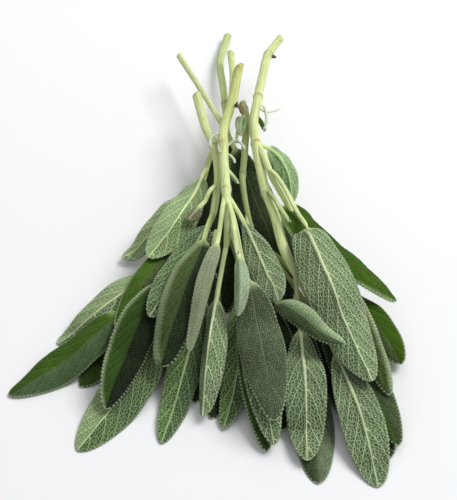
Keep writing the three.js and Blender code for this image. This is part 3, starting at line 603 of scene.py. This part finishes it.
def relief_tree():
    """A node group that lifts each cell of the vein net by the mesh's own push."""
    tree = bpy.data.node_groups.new("blade_relief", "GeometryNodeTree")
    for way in ("INPUT", "OUTPUT"):
        tree.interface.new_socket("Geometry", in_out=way, socket_type="NodeSocketGeometry")
    nodes = Wiring(tree)
    mesh = nodes.add("NodeGroupInput").outputs[0]
    net, push = (nodes.add("GeometryNodeInputNamedAttribute", {"Name": name}, data_type="FLOAT_VECTOR")
                 .outputs["Attribute"] for name in ("net", "push"))
    dome = nodes.ramp(nodes.cells(net, 1, NET_RANDOMNESS), 0, 0.32)
    offset = nodes.add("ShaderNodeVectorMath", {0: push, "Scale": dome}, operation="SCALE").outputs[0]
    moved = nodes.add("GeometryNodeSetPosition", {"Geometry": mesh, "Offset": offset}).outputs[0]
    nodes.add("NodeGroupOutput", {0: moved})
    return tree


def bake_relief(piece, tree):
    """Makes the lifted net part of the piece's own mesh."""
    modifier = piece.modifiers.new("relief", "NODES")
    modifier.node_group = tree
    shaped = bpy.data.meshes.new_from_object(piece.evaluated_get(bpy.context.evaluated_depsgraph_get()))
    piece.modifiers.clear()
    plain, name = piece.data, piece.data.name
    piece.data = shaped
    bpy.data.meshes.remove(plain)
    shaped.name = name
    shaped.attributes.remove(shaped.attributes["push"])


def add_stem(piece, stem, settings, chance):
    total = stem.s[-1]
    d = np.linspace(0, total, int(total / STEM_RING))
    sides = STEM_SIDES
    a = (np.arange(sides) + 0.5) / sides * 2 * np.pi
    here = stem.on(d)
    run = unit(stem.on(d + 1) - stem.on(d - 1))
    side = unit(np.stack([-run[:, 1], run[:, 0], np.zeros(len(d))], -1))
    up = np.cross(run, side)
    swell = sum((hill(d - k, 1.5) for k in stem.knots), np.zeros(len(d)))
    turn = chance.random(4) * 6.28  # about a whole turn
    ridges = settings.ridge * (np.cos(4 * a + 0.3) + 0.35 * np.cos(9 * a + turn[0]))
    uneven = 0.03 * np.sin(d / 3.1 + turn[1])[:, None] * np.cos(a + turn[2])
    end = np.sqrt(1 - smooth(d, total - 2.2, total + 0.4) * 0.85)
    end = end * (1 - 0.4 * smooth(d, total - 12, total))
    uneven = 1 + ridges + uneven + settings.knot * swell[:, None]
    r = np.interp(d, stem.s, stem.radius)[:, None] * uneven * end[:, None]
    out = -side[:, None, :] * np.cos(a)[:, None] - up[:, None, :] * np.sin(a)[:, None]
    rings = here[:, None, :] + out * r[..., None]
    slanted = stem.slant * np.cos(a) * hill(d, 2)[:, None]
    rings = rings + run[:, None, :] * slanted[..., None]
    # the cut face: a rim, then a slightly sunken pith
    centre = rings[0].mean(0)
    face = [centre + (rings[0] - centre) * k + run[0] * dip for k, dip in CUT_RINGS]
    all_rings = np.vstack([face, rings])
    n = len(all_rings)
    start = centre + run[0] * 0.35
    finish = here[-1] + run[-1] * 0.4
    verts = metres(np.vstack([all_rings.reshape(-1, 3), start, finish]))
    faces, corners, face_of = tube(n, sides)
    slots = np.zeros(len(faces), int)
    slots[: 2 * sides] = slots[(n - 1) * sides: n * sides] = 1

    # side wall on one strip, cut face on another
    wide = 2 * np.pi * stem.radius.max() * 1.3
    disc = stem.radius.max() * 3
    strips = [(wide, total + 3), (disc, disc)]
    column = np.append(np.tile(np.arange(sides), n), [0, 0])[corners]
    wrap = (face_of % sides == sides - 1) & (column == 0)
    height = np.append(np.repeat([0, 0, *d], sides), [0, total + 1])
    scale = np.append(np.repeat([*(k for k, _ in CUT_RINGS), *np.ones(len(d))], sides), [0, 0])
    angle = np.append(np.tile(a, n), [0, 0])
    spot = np.stack([np.cos(angle), np.sin(angle)], -1) * scale[:, None]
    on_cut = slots[face_of] == 1
    wall = np.stack([np.where(wrap, wide, column / sides * wide), 1 + height[corners]], -1)
    places = np.where(on_cut[:, None], disc / 2 + spot[corners] * disc * 0.4, wall)
    at_cut, at_end, tip_brown = STEM_TONES_AND_SHADE.get(stem.name, PLAIN_STEM)
    at_cut, at_end = np.array(at_cut), np.array(at_end)
    is_cut = 1 if stem.knots else 0
    aged = is_cut * (1 - smooth(height, 0.2 * total, 0.7 * total))[:, None]
    # The skin tone runs from the cut to the far end; on the stub it is painted shade.
    skin = at_end + (at_cut - at_end) * aged
    scars = sum((hill(d - k + 0.3, 0.55) for k in stem.knots), np.zeros(len(d)))
    brown = tip_brown * is_cut * hill(d, 4) + 0.9 * scars + 0.25 * swell
    streak = max(tip_brown - 0.6, 0) * 2 * hill(d, 15)[:, None] * np.maximum(np.cos(a + 0.5), 0) ** 2
    brown = np.minimum(brown[:, None] + streak, 1).ravel()
    brown = np.concatenate([np.ones(2 * sides), brown, [1, 0]])
    piece.add(
        verts, faces, slots, strips, (on_cut.astype(int), places),
        bark=np.stack([height, angle, brown], -1),
        skin=np.column_stack([skin, np.ones(len(height))]),
        cut=np.column_stack([spot, scale]),
    )


# ---- materials
class Wiring:
    """Adds and joins the nodes of a material or of a node group."""

    def __init__(self, tree):
        self.tree = tree

    def feed(self, socket, value):
        if isinstance(value, bpy.types.NodeSocket):
            self.tree.links.new(value, socket)
        else:
            socket.default_value = (*value, 1) if socket.type == "RGBA" else value

    def add(self, kind, feeds=None, **settings):
        node = self.tree.nodes.new(kind)
        for name, value in settings.items():
            setattr(node, name, value)
        for key, value in (feeds or {}).items():
            self.feed(node.inputs[key], value)
        return node

    def math(self, operation, a, b=0):
        return self.add("ShaderNodeMath", {0: a, 1: b}, operation=operation).outputs[0]

    plus, minus = partialmethod(math, "ADD"), partialmethod(math, "SUBTRACT")
    times, greater = partialmethod(math, "MULTIPLY"), partialmethod(math, "MAXIMUM")

    def near_line(self, a):
        """How far a is from the nearest whole number."""
        return self.math("PINGPONG", a, 0.5)

    def ramp(self, value, low, high, to_low=0, to_high=1):
        feeds = {"Value": value, "From Min": low, "From Max": high, "To Min": to_low, "To Max": to_high}
        return self.add("ShaderNodeMapRange", feeds, interpolation_type="SMOOTHSTEP").outputs["Result"]

    def mix(self, share_of_b, a, b, blend="MIX"):
        feeds = {0: share_of_b, 6: a, 7: b}
        return self.add("ShaderNodeMix", feeds, data_type="RGBA", blend_type=blend).outputs[2]

    def tinted(self, a, b):
        return self.mix(1, a, b, "MULTIPLY")

    def cells(self, vector, scale, randomness):
        """Distance to the nearest wall of a net of cells."""
        feeds = {"Vector": vector, "Scale": scale, "Randomness": randomness}
        look = dict(voronoi_dimensions="2D", feature="DISTANCE_TO_EDGE")
        return self.add("ShaderNodeTexVoronoi", feeds, **look).outputs["Distance"]

    def noise(self, vector, scale, detail=3):
        return self.add("ShaderNodeTexNoise", {"Vector": vector, "Scale": scale, "Detail": detail,
                                               "Roughness": 0.55}).outputs[0]

    def place(self):
        return self.add("ShaderNodeTexCoord").outputs["Object"]

    def attribute(self, name, output="Vector"):
        return self.add("ShaderNodeAttribute", attribute_name=name).outputs[output]

    def parts(self, name):
        return self.add("ShaderNodeSeparateXYZ", {0: self.attribute(name)}).outputs


NET_RANDOMNESS = 0.8
PEBBLE_SCALE, PEBBLE_RANDOMNESS = 1.5, 0.9


class Material(Wiring):
    """A material whose shader has these constants; close() joins what varies over the surface."""

    def __init__(self, name, gloss, sheen=0, sheen_roughness=0.5, sheen_tint=(1, 1, 1)):
        self.material = bpy.data.materials.new(name)
        self.material.use_nodes = True
        super().__init__(self.material.node_tree)
        self.tree.nodes.clear()
        self.shader = self.add("ShaderNodeBsdfPrincipled", {
            "Specular IOR Level": gloss, "Sheen Weight": sheen, "Sheen Roughness": sheen_roughness,
            "Sheen Tint": sheen_tint})
        self.add("ShaderNodeOutputMaterial", {"Surface": self.shader.outputs[0]})

    def close(self, colour, roughness, height, distance):
        bump = self.add("ShaderNodeBump", {"Height": height, "Distance": distance, "Strength": 1})
        feeds = {"Base Color": colour, "Roughness": roughness, "Normal": bump.outputs[0]}
        for key, value in feeds.items():
            self.feed(self.shader.inputs[key], value)
        return self.material


class LeafFacts:
    """What a leaf's mesh knows at a point, and how strongly its veins show there, each 0 to 1."""

    def __init__(self, w):
        self.net, self.tint = w.attribute("net"), w.attribute("tint", "Color")
        self.strength = w.attribute("tint", "Alpha")
        self.flat, self.edge, self.t = w.parts("blade")
        vein, self.phase, self.stalk = w.parts("veins")
        self.dry, self.felt, self.hem = w.parts("kind")
        self.off_rib = w.math("ABSOLUTE", self.flat)

        vein = w.plus(vein, w.times(w.minus(w.noise(self.net, 0.35, 2), 0.5), 0.1))
        self.fine = w.ramp(w.cells(self.net, 1, NET_RANDOMNESS), 0.04, 0.18, 1, 0)
        side = w.ramp(w.near_line(vein), 0.016, 0.052, 1, 0)
        between = w.ramp(w.near_line(w.plus(vein, 0.5)), 0.008, 0.04, 1, 0)
        self.side = w.greater(side, w.times(between, w.ramp(self.off_rib, 1, 3, 0, 0.7)))
        width = w.ramp(self.t, 0, 0.9, 1, 0.35)
        self.middle = w.ramp(w.math("DIVIDE", self.off_rib, width), 0.38, 0.78, 1, 0)


def leaf_finish(w, s, f, colour, grain, beads_share):
    """Felt, hem, beads along the margin, the stalk and withering, in that order."""
    place = w.place()
    blotch = w.ramp(w.noise(place, 60), 0.3, 0.7, 0.84, 1.14)
    velvet = w.ramp(w.noise(place, 5200, 2), 0.25, 0.75, 0.84, 1.16)
    # The leaf's tone multiplies the colour, and with it the light and shade painted into its tones.
    colour = w.tinted(w.mix(f.felt, colour, w.tinted(s.felt_colour, grain)), f.tint)
    bead = w.ramp(w.near_line(f.phase), 0.1, 0.4)
    hem_grain = w.times(grain, w.ramp(bead, 0, 1, 0.82, 1.08))
    # Hem and stalk take half and four tenths of that tone, so a leaf painted in shade darkens them too.
    hem_colour = w.tinted(w.tinted(s.margin_colour, w.mix(0.5, (1, 1, 1), f.tint)), hem_grain)
    colour = w.mix(w.times(f.hem, 0.85), colour, hem_colour)
    margin = w.times(w.ramp(f.edge, 0.35, 0.85, 1, 0), bead)
    colour = w.mix(w.times(margin, beads_share), colour, s.bead_colour)
    stalk_colour = w.tinted(s.stalk_colour, w.mix(0.4, (1, 1, 1), f.tint))
    colour = w.mix(w.times(f.stalk, 0.9), colour, stalk_colour)
    colour = w.mix(w.times(f.dry, w.minus(1, f.stalk)), colour, s.dry_colour)
    return w.tinted(colour, w.times(blotch, velvet)), velvet


def underside_material(s):
    w = Material("leaf_underside", 0.25, 0.12, 0.5, (0.92, 1, 0.8))
    f = LeafFacts(w)
    lines = w.times(w.greater(w.times(f.fine, 0.85), f.side), f.strength)
    colour = w.mix(w.times(f.fine, w.times(f.strength, 0.85)), s.underside, s.vein)
    strong = w.greater(w.times(f.side, 0.62), w.times(f.middle, 0.95))
    colour = w.mix(w.times(strong, f.strength), colour, s.midrib_colour)
    colour, velvet = leaf_finish(w, s, f, colour, w.ramp(f.fine, 0, 1, 1.12, 0.72), 0.6)
    height = w.plus(w.times(lines, 0.6), w.times(velvet, 0.35))
    return w.close(colour, w.ramp(lines, 0, 1, 0.85, 0.7), height, 0.0002)


def upperside_material(s):
    w = Material("leaf_upperside", 0.15, 0.03, 0.4, (0.9, 1, 0.8))
    f = LeafFacts(w)
    # Painted shade: the hollows between the pebbles and the sunken veins are darkened to the upper
    # side's deepest colour, and the felt in the hollows is darkened too.
    pebbles = w.ramp(w.cells(f.net, PEBBLE_SCALE, PEBBLE_RANDOMNESS), 0.05, 0.4)
    shown = w.minus(1, w.times(w.minus(1, pebbles), f.strength))
    furrow_shade = w.times(w.greater(f.side, w.times(f.middle, 0.8)), 0.7)
    colour = w.mix(furrow_shade, w.mix(shown, s.upperside_shade, s.upperside), s.upperside_shade)
    line = w.ramp(f.off_rib, 0.1, 0.28, 0.15, 0)
    colour = w.mix(w.times(line, w.ramp(f.t, 0.5, 0.95, 1, 0)), colour, s.stalk_colour)
    colour, velvet = leaf_finish(w, s, f, colour, w.ramp(shown, 0, 1, 0.62, 1.12), 0.9)
    height = w.plus(w.times(pebbles, 0.8), w.times(velvet, 0.35))
    return w.close(colour, w.ramp(pebbles, 0, 1, 0.85, 0.68), height, 0.00025)


def bark_material(s):
    w = Material("stem_bark", 0.3, 0.2, 0.5, (0.95, 1, 0.85))
    height, around, brown = w.parts("bark")
    place = w.place()
    wall = w.add("ShaderNodeCombineXYZ", {0: w.times(w.math("SINE", around), 6),
                                          1: w.times(w.math("COSINE", around), 6),
                                          2: w.times(height, 0.12)}).outputs[0]
    streaks = w.ramp(w.noise(wall, 1, 4), 0.3, 0.7)
    velvet = w.ramp(w.noise(place, 4200, 2), 0.25, 0.75, 0.86, 1.12)
    patch = w.ramp(w.noise(place, 420), 0.25, 0.7)
    colour = w.mix(streaks, s.bark_deep, s.bark)
    colour = w.mix(w.times(w.times(brown, patch), 0.9), colour, s.knot_colour)
    # The skin tone multiplies the bark; on the stub it is painted shade.
    colour = w.tinted(w.tinted(colour, w.attribute("skin", "Color")), velvet)
    lift = w.plus(w.times(streaks, 0.6), w.times(velvet, 0.4))
    return w.close(colour, w.ramp(streaks, 0, 1, 0.8, 0.65), lift, 0.00022)


def cut_material(s):
    w = Material("stem_cut", 0.3)
    radius = w.parts("cut")[2]
    grain = w.noise(w.place(), 2600)
    rim = w.ramp(w.plus(radius, w.times(grain, 0.2)), 0.75, 1.05)
    colour = w.tinted(w.mix(rim, s.pith_colour, s.knot_colour), w.ramp(grain, 0.3, 0.7, 0.7, 1.2))
    return w.close(colour, w.ramp(grain, 0, 1, 0.8, 0.95), grain, 0.0002)


# ---- settings
def a_colour(name, description, value):
    return FloatVectorProperty(name=name, description=description, subtype="COLOR", size=3,
                               min=0, max=1, default=value)


def a_number(name, description, value, **more):
    return FloatProperty(name=name, description=description, default=value, **more)


def a_length(name, description, value, **more):
    return a_number(name, description, value, unit="LENGTH", precision=5, **more)


class SageLeafSettings(PropertyGroup):
    thickness: a_length("Blade thickness", "Thickness of a leaf between veins", 0.00045, min=0.0002)
    midrib: a_length("Midrib height", "How far the midrib stands out of the underside", 0.00055)
    relief: a_length("Net relief", "How far the blade bulges between the finest veins", 0.00024)
    cell_size: a_length("Net cell", "Size of a cell of the vein net", 0.00118, min=0.0005)
    vein_spacing: a_length("Side veins", "From one to the next along the midrib", 0.0098, min=0.002)
    tooth_pitch: a_length("Tooth pitch", "Length of one tooth of the margin", 0.00136, min=0.0008)
    tooth_depth: a_length("Tooth depth", "How far a tooth stands out of the margin", 0.0003)
    underside: a_colour("Underside", "Cells of the underside", (0.06, 0.112, 0.038))
    vein: a_colour("Net", "Net of fine veins of the underside", (0.36, 0.45, 0.25))
    midrib_colour: a_colour("Midrib", "Midrib and side veins of the underside", (0.62, 0.7, 0.42))
    upperside: a_colour("Upper side", "Raised parts of the upper side", (0.115, 0.155, 0.075))
    # Painted shade for the hollows and sunken veins of the upper side.
    upperside_shade: a_colour("Upper side, deep", "Furrows of the upper side", (0.018, 0.03, 0.011))
    felt_colour: a_colour("Felt", "Pale down of young and furled leaves", (0.27, 0.33, 0.2))
    margin_colour: a_colour("Hem", "Turned margin, seen from under", (0.36, 0.43, 0.27))
    bead_colour: a_colour("Beads", "Pale teeth along the margin", (0.46, 0.53, 0.36))
    stalk_colour: a_colour("Stalk", "Leaf stalk", (0.7, 0.8, 0.38))
    dry_colour: a_colour("Dry leaf", "Withered young leaf", (0.17, 0.115, 0.04))


class SageStemSettings(PropertyGroup):
    ridge: a_number("Ridges", "Height of the four ridges, as a share of the radius", 0.05)
    knot: a_number("Knots", "Swelling at a knot, as a share of the radius", 0.2)
    bark: a_colour("Bark", "Skin of the stem", (0.8, 0.87, 0.43))
    bark_deep: a_colour("Bark, deep", "Furrows of the stem", (0.48, 0.57, 0.23))
    knot_colour: a_colour("Knot", "Brown of knots and cut rims", (0.26, 0.14, 0.045))
    pith_colour: a_colour("Pith", "Middle of the cut face", (0.55, 0.42, 0.2))


class SageStageSettings(PropertyGroup):
    floor_size: a_length("Floor size", "Side of the floor", 6)
    floor_colour: a_colour("Floor", "Plain pale floor", (0.87, 0.875, 0.88))
    world_light: a_number("Room light", "Strength of the even light", 0.46)
    key_power: a_number("Key light", "Power of the soft key light", 39, unit="POWER")
    back_power: a_number("Back light", "Power of the light behind the cut ends", 1.5, unit="POWER")


# ---- operators
STEM_SEED, LEAF_SEED = 7, 11


def grow(kind, settings, materials, seed, add, finish=None):
    """Makes a piece of this kind for each leafy stem, and lets it stand for the stem's solid."""
    chance = np.random.default_rng(seed)
    for name in dict.fromkeys(stem.name for stem in laid_bunch()):
        shape = Piece()
        for stem in laid_bunch():
            if stem.name == name:
                add(shape, stem, settings, chance)
        piece = shape.finish(f"{name}_{kind}", materials)
        if finish:
            finish(piece)
        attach(piece, "root")
        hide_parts(name)


class SAGE_OT_stems(Operator):
    """Grow the seven stems with their knots, ridges and slanted cut ends"""
    bl_idname = "sage.grow_stems"
    bl_label = "Grow stems"

    def execute(self, context):
        settings = context.scene.sage_stems
        grow("stem", settings, [bark_material(settings), cut_material(settings)], STEM_SEED, add_stem)
        return {"FINISHED"}


class SAGE_OT_leaves(Operator):
    """Grow the leaves of every stem, with veins, net relief, toothed margins and stalks"""
    bl_idname = "sage.grow_leaves"
    bl_label = "Grow leaves"

    def execute(self, context):
        settings = context.scene.sage_leaves
        materials = [underside_material(settings), upperside_material(settings)]
        lift = partial(bake_relief, tree=relief_tree())
        grow("leaves", settings, materials, LEAF_SEED, add_leaves, lift)
        return {"FINISHED"}


LOOK_AT = Vector((0.0085, -0.008, 0))
CAMERA_DISTANCE, CAMERA_TILT = 0.56, math.radians(52)
FOCAL_LENGTH = 94.75


def show(context, name, data):
    thing = bpy.data.objects.new(name, data)
    context.scene.collection.objects.link(thing)
    return thing


def aim(thing, place):
    """Sets a light or the camera at a place and turns it to the bunch."""
    thing.location = place
    thing.rotation_euler = (LOOK_AT - thing.location).to_track_quat("-Z", "Y").to_euler()


class SAGE_OT_stage(Operator):
    """Lay the floor and set the lights and the camera"""
    bl_idname = "sage.set_stage"
    bl_label = "Set the stage"

    def execute(self, context):
        settings = context.scene.sage_stage
        w = Material("floor_paper", 0.2)
        place = w.place()
        tooth = w.noise(place, 900)
        darker = [c * 0.985 for c in settings.floor_colour]
        paper = w.mix(w.ramp(w.noise(place, 3), 0.3, 0.7), settings.floor_colour, darker)
        paper = w.close(paper, w.ramp(tooth, 0, 1, 0.55, 0.7), tooth, 0.00001)
        half = settings.floor_size / 2
        square = [(-half, -half, 0), (half, -half, 0), (half, half, 0), (-half, half, 0)]
        mesh = bpy.data.meshes.new("floor")
        mesh.from_pydata(square, [], [(0, 1, 2, 3)])
        mesh.materials.append(paper)
        show(context, "floor", mesh)

        world = bpy.data.worlds.new("room")
        world.use_nodes = True
        background = world.node_tree.nodes["Background"]
        background.inputs["Color"].default_value = (0.97, 0.985, 1, 1)
        background.inputs["Strength"].default_value = settings.world_light
        context.scene.world = world
        for name, power, size, place in (
            ("key_light", settings.key_power, 1.1, (1.2, 0.75, 1.7)),
            ("back_light", settings.back_power, 0.5, (0, 0.75, 0.7)),
        ):
            lamp = bpy.data.lights.new(name, "AREA")
            lamp.energy, lamp.size = power, size
            aim(show(context, name, lamp), place)

        lens = bpy.data.cameras.new("camera")
        lens.lens, lens.sensor_width, lens.clip_start = FOCAL_LENGTH, 36, 0.01
        camera = show(context, "camera", lens)
        back = Vector((0, -math.cos(CAMERA_TILT), math.sin(CAMERA_TILT)))
        aim(camera, LOOK_AT + back * CAMERA_DISTANCE)
        context.scene.camera = camera
        context.scene.view_settings.view_transform = "Standard"
        return {"FINISHED"}


SETTINGS = dict(sage_stems=SageStemSettings, sage_leaves=SageLeafSettings, sage_stage=SageStageSettings)
OPERATORS = (SAGE_OT_stems, SAGE_OT_leaves, SAGE_OT_stage)


class SAGE_PT_bunch(Panel):
    """Lists the pieces and settings of the sage bunch"""
    bl_label = "Sage bunch"
    bl_space_type = "VIEW_3D"
    bl_region_type = "UI"
    bl_category = "Sage"

    def draw(self, context):
        for operator, (group, settings) in zip(OPERATORS, SETTINGS.items()):
            box = self.layout.box()
            box.operator(operator.bl_idname)
            for name in settings.__annotations__:
                box.prop(getattr(context.scene, group), name)


CLASSES = (*SETTINGS.values(), *OPERATORS, SAGE_PT_bunch)


def register():
    for cls in CLASSES:
        bpy.utils.register_class(cls)
    for name, group in SETTINGS.items():
        setattr(bpy.types.Scene, name, PointerProperty(type=group))


def unregister():
    for name in SETTINGS:
        delattr(bpy.types.Scene, name)
    for cls in reversed(CLASSES):
        bpy.utils.unregister_class(cls)


def main():
    register()
    bpy.ops.sage.grow_stems()
    bpy.ops.sage.grow_leaves()
    bpy.ops.sage.set_stage()


if __name__ == "__main__":
    main()
